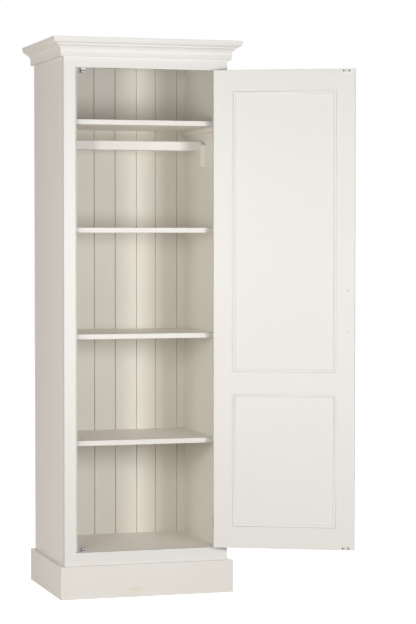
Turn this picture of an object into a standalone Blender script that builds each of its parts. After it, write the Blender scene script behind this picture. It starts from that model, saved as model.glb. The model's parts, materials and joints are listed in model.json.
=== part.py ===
"""Tall painted cupboard with one framed and panelled door, built piece by piece.

Units are metres. X runs to the right along the front, Y runs from front to back, Z is up.
The origin is on the floor, under the middle of the front plinth board.
"""
import math

import bmesh
import bpy
from mathutils import Euler, Matrix, Vector

# Fit between pieces
JOINT_GAP = 0.0003              # left between two pieces that touch
CUT_OVERRUN = 0.004             # how far a cutter passes the face that it breaks
WELD_DISTANCE = 0.000001
ARRIS_RADIUS = 0.001            # softened edge of a planed and painted board
ARC_STEPS = 5                   # straight runs in each quarter round

# Carcass
TOTAL_HEIGHT = 2.0
CARCASS_WIDTH = 0.6074
CARCASS_DEPTH = 0.482           # face of the front frame to the rear edges of the sides
FLOOR_HEIGHT = 0.1642           # top of the bottom panel and of the frame's bottom rail
SIDE_THICKNESS = 0.025
TOP_THICKNESS = 0.018
BOTTOM_THICKNESS = 0.018

# Face frame
FRAME_THICKNESS = 0.022
LEFT_STILE_WIDTH = 0.0425
RIGHT_STILE_WIDTH = 0.0481
TOP_RAIL_HEIGHT = 0.0933
BOTTOM_RAIL_HEIGHT = 0.095
FRAME_CORNER_RADIUS = 0.002     # front corners of the cupboard
STOP_REVEAL = 0.011             # how far the stop lath shows past the left stile
STOP_THICKNESS = 0.012

# Tongued and grooved back
BOARD_THICKNESS = 0.016
BACK_RECESS = 0.007             # the sides stand this far behind the boards
BACK_REBATE_WIDTH = 0.012
TONGUE_THICKNESS = 0.005
TONGUE_LENGTH = 0.006
BOARD_CHAMFER = 0.0015          # two of them make the V between boards
BOARD_GAP = 0.0008              # the boards stand this far apart, with room to swell
BOARD_FLOOR_GAP = 0.010         # the boards stop this far above the floor
BOARD_JOINT_SHARES = (0.0838, 0.2248, 0.3658, 0.5064, 0.6503, 0.7790, 0.9247)

# Plinth
PLINTH_HEIGHT = 0.1177
PLINTH_THICKNESS = 0.0175

# Cornice, from its outer edge in and from the top down
CORNICE_LIP = 0.012             # the cornice stands this far above the carcass
CORNICE_BAND_HEIGHT = 0.003
OVOLO_DEPTH = 0.012
OVOLO_HEIGHT = 0.020
CORNICE_STEP_DEPTH = 0.0035
CORNICE_STEP_HEIGHT = 0.005
CAVETTO_DEPTH = 0.016
CAVETTO_HEIGHT = 0.023
FASCIA_PROJECTION = 0.0135
FASCIA_HEIGHT = 0.0155

# Shelves and the hanging rail
SHELF_THICKNESS = 0.018
SHELF_TOP_SHARES = (0.8952, 0.6717, 0.4509, 0.2296)     # of the opening's height, top shelf first
CLEAT_HEIGHT = 0.0185
CLEAT_THICKNESS = 0.009
RAIL_DROP = 0.049               # underside of the top shelf to the top of the rail
RAIL_SETBACK = 0.205            # frame face to the middle of the rail
RAIL_HEIGHT = 0.035
RAIL_THICKNESS = 0.016
RAIL_END_GAP = 0.0125           # the rail stops this far short of each side
RAIL_ARRIS_RADIUS = 0.004
RAIL_BLOCK_THICKNESS = 0.022
RAIL_BLOCK_DEPTH = 0.0625
RAIL_BLOCK_HEIGHT = 0.084
RAIL_NOTCH_DEPTH = 0.0225

# Door
DOOR_THICKNESS = 0.0215
DOOR_FREE_GAP = 0.0032
DOOR_TOP_GAP = 0.0012
DOOR_BOTTOM_GAP = 0.0028
DOOR_FREE_STILE_WIDTH = 0.0663
DOOR_HINGE_STILE_WIDTH = 0.070
DOOR_TOP_RAIL_HEIGHT = 0.0775
DOOR_MIDDLE_RAIL_HEIGHT = 0.0815
DOOR_BOTTOM_RAIL_HEIGHT = 0.0785
LOWER_PANEL_HEIGHT = 0.4798     # clear height between the bottom and middle rails
PANEL_THICKNESS = 0.008
PANEL_GROOVE_DEPTH = 0.009
BEAD_WIDTH = 0.010
BEAD_HEIGHT = 0.006
BEAD_FLAT = 0.0025
BEAD_EDGE = 0.0008
BEAD_QUIRK_WIDTH = 0.0004       # the fine groove between bead and frame
BEAD_QUIRK_DEPTH = 0.002
DOOR_REST_DEGREES = 154         # how far the door stands open

# Butt hinges
HINGE_LENGTH = 0.050
HINGE_END_INSET = 0.064         # end of the door to the near end of its hinge
HINGE_AXIS_FORWARD = 0.003      # pin's axis in front of the frame's face
LEAF_THICKNESS = 0.00115
LEAF_WIDTH = 0.016
KNUCKLE_RADIUS = 0.0026
KNUCKLE_COUNT = 5
PIN_RADIUS = 0.0012
PIN_CLEARANCE = 0.0001
PIN_BUTTON_HEIGHT = 0.0014
PIN_BUTTON_RADIUS = 0.0022
HINGE_SCREW_SPACING = 0.030
HINGE_SCREW_HEAD_RADIUS = 0.0026
HINGE_SCREW_HEAD_DEPTH = 0.0009
HINGE_SCREW_RADIUS = 0.0016

# How finely round pieces are turned
ROUND_STEPS = 16
SCREW_STEPS = 12
SHARP_DEGREES = 35              # steeper edges stay sharp on a turned piece

# Magnetic catches and their keepers
CATCH_WIDTH = 0.015
CATCH_HEIGHT = 0.0125
CATCH_DEPTH = 0.028
CATCH_FROM_EDGE = 0.032         # free edge of the door to the middle of its catches
TOP_CATCH_DROP = 0.004          # opening's top to the top of the upper catch
CATCH_BLOCK_WIDTH = 0.018
CATCH_BLOCK_HEIGHT = 0.036
CATCH_SCREW_SPACING = 0.015
CATCH_HOLE_RADIUS = 0.0016
KEEPER_WIDTH = 0.028
KEEPER_HEIGHT = 0.012
KEEPER_THICKNESS = 0.0012
KEEPER_FROM_EDGE = 0.0305       # free edge of the door to the middle of a keeper
KEEPER_INSET = 0.0006           # plate's edge to the door's top or bottom
KEEPER_SCREW_SPACING = 0.0205
KEEPER_SCREW_HEAD_RADIUS = 0.0028
KEEPER_SCREW_HEAD_DEPTH = 0.0009
KEEPER_SCREW_RADIUS = 0.0013

# Bow handle on the outside of the door, and its bolts
HANDLE_CENTRES = 0.147
HANDLE_FROM_EDGE = 0.0243
HANDLE_BELOW_MIDDLE = 0.002
HANDLE_STANDOFF = 0.030         # door face to the middle of the grip
HANDLE_RADIUS = 0.0045
HANDLE_FOOT_RADIUS = 0.0075
HANDLE_FOOT_HEIGHT = 0.005
HANDLE_BOW_POWER = 0.6
HANDLE_STEPS = 18
HANDLE_SIDE_RESOLUTION = 2
BOLT_RADIUS = 0.0018
BOLT_HEAD_RADIUS = 0.0042
BOLT_HEAD_HEIGHT = 0.0018
BOLT_BITE = 0.008               # how far a bolt enters the handle

# Finishes: colour, roughness, metallic
SATIN_PAINT = ("D8D4CC", 0.45, 0.0)
DOOR_PAINT = ("DEDAD3", 0.42, 0.0)
INSIDE_PAINT = ("CFC9BD", 0.50, 0.0)
STEEL = ("A9ABAD", 0.30, 1.0)
CATCH_CASE = ("B9BDC0", 0.38, 1.0)
HANDLE_METAL = ("9A9690", 0.30, 1.0)

# Places that the pieces share
half_width = CARCASS_WIDTH / 2
inner_half = half_width - SIDE_THICKNESS
frame_face = PLINTH_THICKNESS / 2 + JOINT_GAP
frame_back = frame_face + FRAME_THICKNESS
carcass_rear = frame_face + CARCASS_DEPTH
carcass_top = TOTAL_HEIGHT - CORNICE_LIP
opening_left = LEFT_STILE_WIDTH - half_width
opening_right = half_width - RIGHT_STILE_WIDTH
opening_top = carcass_top - TOP_RAIL_HEIGHT
opening_height = opening_top - FLOOR_HEIGHT
boards_face = carcass_rear - BACK_RECESS - BOARD_THICKNESS
inside_front = frame_back + JOINT_GAP
inside_rear = boards_face - JOINT_GAP
inside_left = JOINT_GAP - inner_half
inside_right = inner_half - JOINT_GAP
shelf_front = inside_front + STOP_THICKNESS + JOINT_GAP
bottom_underside = FLOOR_HEIGHT - BOTTOM_THICKNESS
shelf_tops = [FLOOR_HEIGHT + share * opening_height for share in SHELF_TOP_SHARES]
rail_bottom = shelf_tops[0] - SHELF_THICKNESS - RAIL_DROP - RAIL_HEIGHT
rail_middle = frame_face + RAIL_SETBACK
leaf_inner = JOINT_GAP / 2
leaf_outer = leaf_inner + LEAF_THICKNESS
hinge_side_gap = leaf_outer + JOINT_GAP
axis_x = opening_right - hinge_side_gap
axis_y = frame_face - HINGE_AXIS_FORWARD

# Places on the door, measured from the hinge axis with the door shut
door_bottom = FLOOR_HEIGHT + DOOR_BOTTOM_GAP
door_top = opening_top - DOOR_TOP_GAP
door_middle = (door_bottom + door_top) / 2
door_front = HINGE_AXIS_FORWARD
door_back = door_front + DOOR_THICKNESS
door_hinge_edge = -hinge_side_gap
door_free_edge = opening_left + DOOR_FREE_GAP - axis_x
door_centre = door_front + DOOR_THICKNESS / 2
panel_left = door_free_edge + DOOR_FREE_STILE_WIDTH
panel_right = door_hinge_edge - DOOR_HINGE_STILE_WIDTH
lower_panel_bottom = door_bottom + DOOR_BOTTOM_RAIL_HEIGHT
lower_panel_top = lower_panel_bottom + LOWER_PANEL_HEIGHT
upper_panel_bottom = lower_panel_top + DOOR_MIDDLE_RAIL_HEIGHT
upper_panel_top = door_top - DOOR_TOP_RAIL_HEIGHT
keeper_middle = door_free_edge + KEEPER_FROM_EDGE
catch_front = axis_y + door_back + JOINT_GAP + KEEPER_THICKNESS + JOINT_GAP
catch_x = axis_x + door_free_edge + CATCH_FROM_EDGE
hinge_middles = {
    "bottom": door_bottom + HINGE_END_INSET + HINGE_LENGTH / 2,
    "middle": door_middle,
    "top": door_top - HINGE_END_INSET - HINGE_LENGTH / 2,
}

# Turns that lay an outline's own Z along the piece
RIGHT_ANGLE = math.pi / 2
ALONG_X = (RIGHT_ANGLE, 0.0, RIGHT_ANGLE)
FACING_FRONT = (RIGHT_ANGLE, 0.0, -RIGHT_ANGLE)
FACING_RIGHT = (RIGHT_ANGLE, 0.0, 0.0)
FACING_LEFT = (RIGHT_ANGLE, 0.0, math.pi)


def start_scene():
    """Empties the scene and makes the collections for pieces and for cutters."""
    for item in list(bpy.data.objects):
        bpy.data.objects.remove(item, do_unlink=True)
    made = []
    for name in ("cupboard", "cutters"):
        group = bpy.data.collections.new(name)
        bpy.context.scene.collection.children.link(group)
        made.append(group)
    return made


pieces, cutters = start_scene()


def linear(hex_colour):
    """The linear red, green and blue of an sRGB colour written as six hex digits."""
    values = []
    for start in (0, 2, 4):
        value = int(hex_colour[start:start + 2], 16) / 255
        values.append(value / 12.92 if value <= 0.04045 else ((value + 0.055) / 1.055) ** 2.4)
    return values


def give_finish(item, finish):
    """Gives the piece a material of its own."""
    colour, roughness, metallic = finish
    material = bpy.data.materials.new(item.name)
    material.use_nodes = True
    shader = material.node_tree.nodes["Principled BSDF"]
    shader.inputs["Base Color"].default_value = (*linear(colour), 1.0)
    shader.inputs["Roughness"].default_value = roughness
    shader.inputs["Metallic"].default_value = metallic
    item.data.materials.append(material)


def place(name, mesh, finish, location=(0, 0, 0), rotation=(0, 0, 0), parent=None):
    """Puts a finished mesh in the cupboard as a named piece."""
    item = bpy.data.objects.new(name, mesh)
    pieces.objects.link(item)
    item.location = location
    item.rotation_euler = rotation
    item.parent = parent
    give_finish(item, finish)
    return item


def weld(mesh):
    """Closes the seams of a mesh and turns its faces outwards."""
    work = bmesh.new()
    work.from_mesh(mesh)
    bmesh.ops.remove_doubles(work, verts=work.verts, dist=WELD_DISTANCE)
    bmesh.ops.recalc_face_normals(work, faces=work.faces)
    work.to_mesh(mesh)
    work.free()
    return mesh


def made_mesh(item):
    """The evaluated mesh of a guide object, which is then removed."""
    bpy.context.view_layer.update()
    shape = item.evaluated_get(bpy.context.evaluated_depsgraph_get())
    mesh = bpy.data.meshes.new_from_object(shape)
    bpy.data.objects.remove(item, do_unlink=True)
    return weld(mesh)


def box_mesh(low, high):
    """A box between two corners."""
    low, high = Vector(low), Vector(high)
    work = bmesh.new()
    bmesh.ops.create_cube(work, size=1.0)
    bmesh.ops.scale(work, vec=high - low, verts=work.verts)
    bmesh.ops.translate(work, vec=(low + high) / 2, verts=work.verts)
    mesh = bpy.data.meshes.new("box")
    work.to_mesh(mesh)
    work.free()
    return mesh


def box(name, low, high, finish, rounding=0.0, parent=None):
    """A board or block between two corners, with its origin at its middle."""
    half = (Vector(high) - Vector(low)) / 2
    item = place(name, box_mesh(-half, half), finish, Vector(low) + half, parent=parent)
    if rounding:
        soften(item, rounding)
    return item


def soften(item, radius):
    """Rounds all the edges of a board."""
    bevel = item.modifiers.new("arris", "BEVEL")
    bevel.width = radius
    bevel.segments = 2


def arc(centre, radius_x, radius_y, start, end):
    """Points of an arc or a stretch of an ellipse, between two angles in degrees."""
    points = []
    for step in range(ARC_STEPS + 1):
        angle = math.radians(start + (end - start) * step / ARC_STEPS)
        points.append((centre[0] + radius_x * math.cos(angle), centre[1] + radius_y * math.sin(angle)))
    return points


def rounded_rectangle(low, high, radii):
    """A rectangle with a radius for each corner: low left, low right, high right, high left."""
    corners = ((low[0], low[1], 1, 1, 180), (high[0], low[1], -1, 1, 270),
               (high[0], high[1], -1, -1, 0), (low[0], high[1], 1, -1, 90))
    points = []
    for (x, y, inward_x, inward_y, start), radius in zip(corners, radii):
        if radius:
            centre = (x + inward_x * radius, y + inward_y * radius)
            points += arc(centre, radius, radius, start, start + 90)
        else:
            points.append((x, y))
    return points


def outline_mesh(points, length):
    """A flat outline in X and Y, drawn out evenly along Z about its own plane."""
    curve = bpy.data.curves.new("outline", "CURVE")
    curve.dimensions = "2D"
    curve.fill_mode = "BOTH"
    curve.extrude = length / 2
    spline = curve.splines.new("POLY")
    spline.points.add(len(points) - 1)
    for point, (x, y) in zip(spline.points, points):
        point.co = (x, y, 0.0, 1.0)
    spline.use_cyclic_u = True
    guide = bpy.data.objects.new("outline", curve)
    pieces.objects.link(guide)
    return made_mesh(guide)


def mitred_mesh(points, length, near=0, far=0):
    """An outline drawn out to a length at its back line X = 0, with 45 degree ends.

    An end's value is 1 for an outside corner, -1 for an inside corner and 0 for a square cut.
    """
    mesh = outline_mesh(points, length)
    for vertex in mesh.vertices:
        if vertex.co.z < 0:
            vertex.co.z -= near * vertex.co.x
        else:
            vertex.co.z += far * vertex.co.x
    return mesh


def turned_mesh(profile, steps):
    """A profile of radius and height, from the top down its outside, turned about Z."""
    mesh = bpy.data.meshes.new("turned")
    edges = [(index, index + 1) for index in range(len(profile) - 1)]
    mesh.from_pydata([(radius, 0.0, height) for radius, height in profile], edges, [])
    guide = bpy.data.objects.new("turned", mesh)
    pieces.objects.link(guide)
    screw = guide.modifiers.new("turn", "SCREW")
    screw.steps = steps
    screw.render_steps = steps
    screw.use_merge_vertices = True
    screw.merge_threshold = WELD_DISTANCE
    mesh = made_mesh(guide)
    mesh.shade_smooth()
    mesh.set_sharp_from_angle(angle=math.radians(SHARP_DEGREES))
    return mesh


def rod_profile(radius, low, high):
    """The profile of a plain rod between two heights."""
    return [(0.0, high), (radius, high), (radius, low), (0.0, low)]


def group_mesh(members):
    """One mesh that holds each (mesh, matrix) of the members as a separate solid."""
    work = bmesh.new()
    for mesh, matrix in members:
        first = len(work.verts)
        work.from_mesh(mesh)
        work.verts.ensure_lookup_table()
        bmesh.ops.transform(work, matrix=matrix, verts=work.verts[first:])
    group = bpy.data.meshes.new("group")
    work.to_mesh(group)
    work.free()
    return group


def tool(target, mesh, operation="DIFFERENCE"):
    """Cuts a piece with a hidden mesh, or joins that mesh to it.

    The mesh is written in the frame that the target is placed in.
    """
    item = bpy.data.objects.new(target.name + "_tool", mesh)
    cutters.objects.link(item)
    item.parent = target.parent
    item.hide_render = True
    item.display_type = "WIRE"
    boolean = target.modifiers.new("shape", "BOOLEAN")
    boolean.operation = operation
    boolean.solver = "EXACT"
    boolean.object = item


def side_panel(name, side):
    """A side, rebated at the rear for the back boards. Its side is -1 at the left, 1 at the right."""
    rebate_front = boards_face - JOINT_GAP
    outer = side * half_width
    inner = side * inner_half
    rebate = side * (inner_half + BACK_REBATE_WIDTH)
    points = [(outer, inside_front), (inner, inside_front), (inner, rebate_front),
              (rebate, rebate_front), (rebate, carcass_rear), (outer, carcass_rear)]
    place(name, outline_mesh(points, carcass_top), SATIN_PAINT, (0, 0, carcass_top / 2))


def carcass_panels():
    """The sides, with the top and bottom panels between them."""
    side_panel("left_side_panel", -1)
    side_panel("right_side_panel", 1)
    box("top_panel", (inside_left, inside_front, carcass_top - TOP_THICKNESS),
        (inside_right, inside_rear, carcass_top), SATIN_PAINT)
    box("bottom_panel", (inside_left, inside_front, bottom_underside),
        (inside_right, inside_rear, FLOOR_HEIGHT), INSIDE_PAINT)


def face_frame():
    """Two full-height stiles with the top and bottom rails between them, and the stop lath."""
    stiles = {
        "left_frame_stile": (-half_width, opening_left, (FRAME_CORNER_RADIUS, ARRIS_RADIUS)),
        "right_frame_stile": (opening_right, half_width, (ARRIS_RADIUS, FRAME_CORNER_RADIUS)),
    }
    for name, (left, right, radii) in stiles.items():
        points = rounded_rectangle((left, frame_face), (right, frame_back), (*radii, 0, 0))
        place(name, outline_mesh(points, carcass_top), DOOR_PAINT, (0, 0, carcass_top / 2))
    rail_length = opening_right - opening_left - 2 * JOINT_GAP
    rail_centre = ((opening_left + opening_right) / 2, 0, 0)
    rails = {
        "frame_top_rail": (opening_top, carcass_top, (ARRIS_RADIUS, 0, 0, 0)),
        "frame_bottom_rail": (FLOOR_HEIGHT - BOTTOM_RAIL_HEIGHT, FLOOR_HEIGHT, (0, 0, 0, ARRIS_RADIUS)),
    }
    for name, (low, high, radii) in rails.items():
        points = rounded_rectangle((frame_face, low), (frame_back, high), radii)
        place(name, outline_mesh(points, rail_length), DOOR_PAINT, rail_centre, ALONG_X)
    box("door_stop_lath", (inside_left, inside_front, FLOOR_HEIGHT + JOINT_GAP),
        (opening_left + STOP_REVEAL, inside_front + STOP_THICKNESS,
         carcass_top - TOP_THICKNESS - JOINT_GAP), INSIDE_PAINT, ARRIS_RADIUS)


def back_board_outline(left, right, is_first, is_last):
    """A board seen from above: a groove at its left, a tongue at its right, chamfered front edges."""
    front, rear = boards_face, boards_face + BOARD_THICKNESS
    tongue_front = (front + rear - TONGUE_THICKNESS) / 2
    tongue_rear = tongue_front + TONGUE_THICKNESS
    edge = right - (JOINT_GAP if is_last else BOARD_GAP)
    points = []
    if is_last:
        points += [(edge, front)]
    else:
        tip = edge + TONGUE_LENGTH
        points += [(edge - BOARD_CHAMFER, front), (edge, front + BOARD_CHAMFER), (edge, tongue_front),
                   (tip, tongue_front), (tip, tongue_rear), (edge, tongue_rear)]
    points += [(edge, rear), (left, rear)]
    if is_first:
        points += [(left, front)]
    else:
        groove_front, groove_rear = tongue_front - JOINT_GAP, tongue_rear + JOINT_GAP
        bottom = left + TONGUE_LENGTH
        points += [(left, groove_rear), (bottom, groove_rear), (bottom, groove_front),
                   (left, groove_front), (left, front + BOARD_CHAMFER), (left + BOARD_CHAMFER, front)]
    return points


def back_boards():
    """The tongued and grooved boards, nailed to the rear edges of the shelves and panels."""
    start = JOINT_GAP - inner_half - BACK_REBATE_WIDTH
    width = -2 * start
    edges = [start] + [start + share * width for share in BOARD_JOINT_SHARES] + [start + width + JOINT_GAP]
    height = carcass_top - BOARD_FLOOR_GAP
    for number, (left, right) in enumerate(zip(edges, edges[1:]), 1):
        points = back_board_outline(left, right, number == 1, number == len(edges) - 1)
        place(f"back_board_{number}", outline_mesh(points, height), INSIDE_PAINT,
              (0, 0, BOARD_FLOOR_GAP + height / 2))


def cornice_profile():
    """The cornice's section, from its underside up: projection and height."""
    bottom = TOTAL_HEIGHT - FASCIA_HEIGHT - CAVETTO_HEIGHT - CORNICE_STEP_HEIGHT - OVOLO_HEIGHT
    bottom -= CORNICE_BAND_HEIGHT
    fascia_top = bottom + FASCIA_HEIGHT
    step_bottom = fascia_top + CAVETTO_HEIGHT
    ovolo_bottom = step_bottom + CORNICE_STEP_HEIGHT
    ovolo_top = ovolo_bottom + OVOLO_HEIGHT
    step_out = FASCIA_PROJECTION + CAVETTO_DEPTH
    ovolo_in = step_out + CORNICE_STEP_DEPTH
    edge = ovolo_in + OVOLO_DEPTH
    points = [(JOINT_GAP, bottom), (FASCIA_PROJECTION, bottom)]
    points += arc((step_out, fascia_top), CAVETTO_DEPTH, CAVETTO_HEIGHT, 180, 90)
    points += [(step_out, ovolo_bottom)]
    points += arc((ovolo_in, ovolo_top), OVOLO_DEPTH, OVOLO_HEIGHT, -90, 0)
    points += [(edge, TOTAL_HEIGHT), (JOINT_GAP, TOTAL_HEIGHT)]
    return points


def three_sided(name, profile):
    """A moulding along the front and both sides, mitred at the front corners."""
    mitre_gap = JOINT_GAP / math.sqrt(2)
    front = mitred_mesh(profile, CARCASS_WIDTH - 2 * mitre_gap, 1, 1)
    place(name + "_front", front, DOOR_PAINT, (0, frame_face, 0), FACING_FRONT)
    length = CARCASS_DEPTH - mitre_gap
    middle = carcass_rear - length / 2
    place(name + "_right", mitred_mesh(profile, length, 0, 1), SATIN_PAINT,
          (half_width, middle, 0), FACING_RIGHT)
    place(name + "_left", mitred_mesh(profile, length, 1, 0), SATIN_PAINT,
          (-half_width, middle, 0), FACING_LEFT)


def plinth_profile():
    """The plinth board's section, with its top outer edge softened."""
    return rounded_rectangle((JOINT_GAP, 0), (JOINT_GAP + PLINTH_THICKNESS, PLINTH_HEIGHT),
                             (0, 0, ARRIS_RADIUS, 0))


def shelves():
    """The shelves, each on a cleat at either side."""
    length = inside_rear - shelf_front
    middle = (0, (shelf_front + inside_rear) / 2, 0)
    sides = {"left": (inside_left, inside_left + CLEAT_THICKNESS, (0, ARRIS_RADIUS, ARRIS_RADIUS, 0)),
             "right": (inside_right - CLEAT_THICKNESS, inside_right, (ARRIS_RADIUS, 0, 0, ARRIS_RADIUS))}
    for number, top in enumerate(shelf_tops, 1):
        box(f"shelf_{number}", (inside_left, shelf_front, top - SHELF_THICKNESS),
            (inside_right, inside_rear, top), INSIDE_PAINT, ARRIS_RADIUS)
        high = top - SHELF_THICKNESS - JOINT_GAP
        for side, (left, right, radii) in sides.items():
            points = rounded_rectangle((left, high - CLEAT_HEIGHT), (right, high), radii)
            place(f"shelf_{number}_cleat_{side}", outline_mesh(points, length), INSIDE_PAINT,
                  middle, FACING_RIGHT)


def hanging_rail():
    """A lath on edge under the top shelf, laid in open-topped notches in two blocks."""
    length = 2 * (inner_half - RAIL_END_GAP)
    points = rounded_rectangle((-RAIL_THICKNESS / 2, rail_bottom),
                               (RAIL_THICKNESS / 2, rail_bottom + RAIL_HEIGHT), [RAIL_ARRIS_RADIUS] * 4)
    place("hanging_rail", outline_mesh(points, length), INSIDE_PAINT, (0, rail_middle, 0), ALONG_X)
    notch_half = RAIL_THICKNESS / 2 + JOINT_GAP
    notch_bottom = rail_bottom - JOINT_GAP
    block_top = notch_bottom + RAIL_NOTCH_DEPTH
    block_low = block_top - RAIL_BLOCK_HEIGHT
    for side, left in (("left", inside_left), ("right", inside_right - RAIL_BLOCK_THICKNESS)):
        right = left + RAIL_BLOCK_THICKNESS
        block = box(f"rail_block_{side}", (left, rail_middle - RAIL_BLOCK_DEPTH / 2, block_low),
                    (right, rail_middle + RAIL_BLOCK_DEPTH / 2, block_top), INSIDE_PAINT, ARRIS_RADIUS)
        tool(block, box_mesh((left - CUT_OVERRUN, rail_middle - notch_half, notch_bottom),
                             (right + CUT_OVERRUN, rail_middle + notch_half, block_top + CUT_OVERRUN)))


def door_stile(name, left, right, pivot):
    """A door stile, grooved along its inner edge for the panels and the rails' stub tenons."""
    groove_half = PANEL_THICKNESS / 2 + JOINT_GAP
    if name == "door_free_stile":
        inner, groove = right, right - PANEL_GROOVE_DEPTH
        ends = [(left, door_back - ARRIS_RADIUS), (left + ARRIS_RADIUS, door_back)]
        starts = [(left + ARRIS_RADIUS, door_front), (left, door_front + ARRIS_RADIUS)]
    else:
        inner, groove = left, left + PANEL_GROOVE_DEPTH
        ends = [(right, door_back - ARRIS_RADIUS), (right - ARRIS_RADIUS, door_back)]
        starts = [(right - ARRIS_RADIUS, door_front), (right, door_front + ARRIS_RADIUS)]
    points = starts + ends + [
        (inner, door_back), (inner, door_centre + groove_half), (groove, door_centre + groove_half),
        (groove, door_centre - groove_half), (inner, door_centre - groove_half), (inner, door_front)]
    return place(name, outline_mesh(points, door_top - door_bottom), DOOR_PAINT,
                 (0, 0, door_middle), parent=pivot)


def door_rail(name, low, high, grooved_low, grooved_high, pivot):
    """A door rail, grooved for the panels, with a stub tenon at each end."""
    tenon_half = PANEL_THICKNESS / 2
    groove_half = tenon_half + JOINT_GAP
    points = [(door_front, low)]
    if grooved_low:
        points += [(door_centre - groove_half, low), (door_centre - groove_half, low + PANEL_GROOVE_DEPTH),
                   (door_centre + groove_half, low + PANEL_GROOVE_DEPTH), (door_centre + groove_half, low)]
    points += [(door_back, low), (door_back, high)]
    if grooved_high:
        points += [(door_centre + groove_half, high), (door_centre + groove_half, high - PANEL_GROOVE_DEPTH),
                   (door_centre - groove_half, high - PANEL_GROOVE_DEPTH), (door_centre - groove_half, high)]
    points += [(door_front, high)]
    tenon = PANEL_GROOVE_DEPTH - JOINT_GAP
    length = panel_right - panel_left + 2 * tenon
    rail = place(name, outline_mesh(points, length), DOOR_PAINT,
                 ((panel_left + panel_right) / 2, 0, 0), ALONG_X, pivot)
    cheeks = []
    for inner, outer in ((panel_left + JOINT_GAP, panel_left - tenon - CUT_OVERRUN),
                         (panel_right - JOINT_GAP, panel_right + tenon + CUT_OVERRUN)):
        for face, depth in ((door_front - CUT_OVERRUN, door_centre - tenon_half),
                            (door_centre + tenon_half, door_back + CUT_OVERRUN)):
            cheek = box_mesh((min(inner, outer), face, low - CUT_OVERRUN),
                             (max(inner, outer), depth, high + CUT_OVERRUN))
            cheeks.append((cheek, Matrix.Identity(4)))
    tool(rail, group_mesh(cheeks))


def door_panel(name, low, high, pivot):
    """A flat panel held in the grooves of the door's frame."""
    lap = PANEL_GROOVE_DEPTH - JOINT_GAP
    box(name, (panel_left - lap, door_centre - PANEL_THICKNESS / 2, low - lap),
        (panel_right + lap, door_centre + PANEL_THICKNESS / 2, high + lap), DOOR_PAINT, parent=pivot)


def bead_profile():
    """The bead's section: how far from the door's frame, and how high above the panel."""
    rise = BEAD_HEIGHT - BEAD_EDGE
    run = BEAD_WIDTH - BEAD_FLAT
    points = [(JOINT_GAP, JOINT_GAP), (BEAD_WIDTH, JOINT_GAP), (BEAD_WIDTH, BEAD_EDGE)]
    points += arc((BEAD_FLAT, BEAD_EDGE), run, rise, 0, 90)[1:]
    quirk_edge = JOINT_GAP + BEAD_QUIRK_WIDTH
    quirk_bottom = BEAD_HEIGHT - BEAD_QUIRK_DEPTH
    return points + [(quirk_edge, BEAD_HEIGHT), (quirk_edge, quirk_bottom), (JOINT_GAP, quirk_bottom)]


def ring_mesh(profile, width, height):
    """A mitred rectangular frame in X and Y, whose section is set in from its outer edge.

    The section is turned in four steps from a corner, which makes a square frame, and the
    corners are then moved out to the width and height.
    """
    reach = 2 * max(inset for inset, _ in profile)
    corners = [(reach - inset, reach - inset, rise) for inset, rise in profile]
    edges = [(index, (index + 1) % len(corners)) for index in range(len(corners))]
    mesh = bpy.data.meshes.new("ring")
    mesh.from_pydata(corners, edges, [])
    guide = bpy.data.objects.new("ring", mesh)
    pieces.objects.link(guide)
    screw = guide.modifiers.new("turn", "SCREW")
    screw.steps = 4
    screw.render_steps = 4
    screw.use_merge_vertices = True
    screw.merge_threshold = WELD_DISTANCE
    mesh = made_mesh(guide)
    for vertex in mesh.vertices:
        vertex.co.x += math.copysign(width / 2 - reach, vertex.co.x)
        vertex.co.y += math.copysign(height / 2 - reach, vertex.co.y)
    return mesh


def door_beads(name, low, high, pivot):
    """Mitred and glued beads round a panel, one frame of them on each face of the door."""
    width, height = panel_right - panel_left, high - low
    centre_x, centre_z = (panel_left + panel_right) / 2, (low + high) / 2
    for face, facing in (("outer", -1), ("inner", 1)):
        ring = ring_mesh(bead_profile(), width, height)
        seat = (centre_x, door_centre + facing * PANEL_THICKNESS / 2, centre_z)
        place(f"{name}_{face}_bead", ring, DOOR_PAINT, seat, (-facing * RIGHT_ANGLE, 0, 0), pivot)


def knuckle_spans(is_frame_leaf):
    """The heights that a leaf's knuckles fill, from the hinge's middle."""
    pitch = HINGE_LENGTH / KNUCKLE_COUNT
    spans = []
    for number in range(0 if is_frame_leaf else 1, KNUCKLE_COUNT, 2):
        low = number * pitch - HINGE_LENGTH / 2
        spans.append((low + JOINT_GAP / 2, low + pitch - JOINT_GAP / 2))
    return spans


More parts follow.
